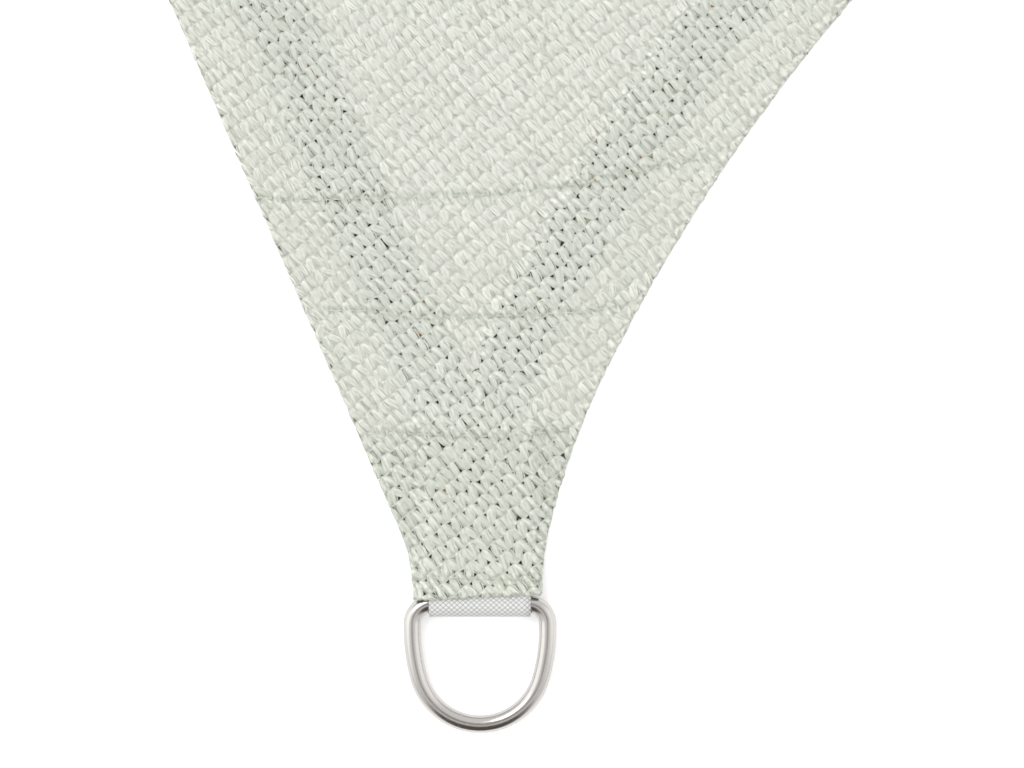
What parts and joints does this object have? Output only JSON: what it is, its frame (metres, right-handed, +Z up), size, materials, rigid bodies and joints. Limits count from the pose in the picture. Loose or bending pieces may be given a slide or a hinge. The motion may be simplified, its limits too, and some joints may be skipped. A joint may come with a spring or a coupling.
{
  "type": "shade sail",
  "caption": "Square shade sail of knitted cloth laid out flat, with curved-in hemmed sides and a webbing tab and metal D-ring on each corner.",
  "frame": {"origin": "on the floor under the middle of the sail", "axes": "+Z up from the floor; X and Y along the sail's sides; corner 0 at -X, -Y and the others a quarter turn on each"},
  "size_m": [2.0182, 2.0182, 0.012],
  "materials": {
    "knitted_cloth": "open warp-knit of pale flat tape, matt with small glints",
    "webbing": "close woven white webbing, matt",
    "ring_wire": "round stainless wire, smooth satin polish"
  },
  "bodies": {
    "root": {"sail_cloth": "knitted_cloth", "webbing_tab_0": "webbing", "webbing_tab_1": "webbing", "webbing_tab_2": "webbing", "webbing_tab_3": "webbing", "d_ring_0": "ring_wire", "d_ring_1": "ring_wire", "d_ring_2": "ring_wire", "d_ring_3": "ring_wire"}
  },
  "joints": []
}
